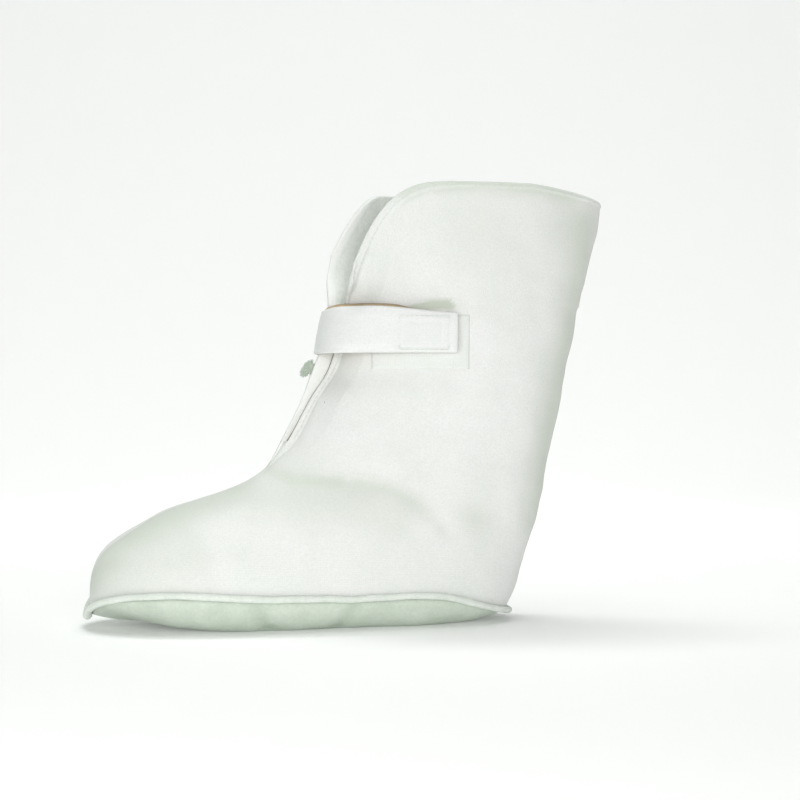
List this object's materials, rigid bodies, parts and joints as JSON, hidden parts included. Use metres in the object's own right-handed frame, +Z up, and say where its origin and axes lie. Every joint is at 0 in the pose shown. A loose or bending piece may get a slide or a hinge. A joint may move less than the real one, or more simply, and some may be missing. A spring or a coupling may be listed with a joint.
{
  "type": "shearling boot",
  "caption": "A soft left shearling boot with a one-piece upper and shaft, a front slit under a hook-and-loop ankle strap, and a sewn-on soft sole",
  "frame": {"origin": "on the floor, in the middle of the whole boot's length and width", "axes": "x from the toe (-) to the heel (+), y from the outer side of the foot (-) to its inner side (+), z up"},
  "size_m": [0.3666, 0.115, 0.304],
  "materials": {
    "upper": "napped pile outside and in, matte",
    "sole": "coarse fuzzy felt, matte",
    "sole_seam": "napped, sewn, matte",
    "strap": "napped, edges turned in and sewn, matte",
    "loop_patch": "soft woven loops",
    "hook_patch": "stiff woven hooks, slightly glossy",
    "pile_tuft": "loose wool"
  },
  "bodies": {
    "root": {"upper": "upper", "sole": "sole", "sole_seam": "sole_seam", "strap": "strap", "loop_patch": "loop_patch", "hook_patch": "hook_patch", "pile_tuft": "pile_tuft"}
  },
  "joints": []
}
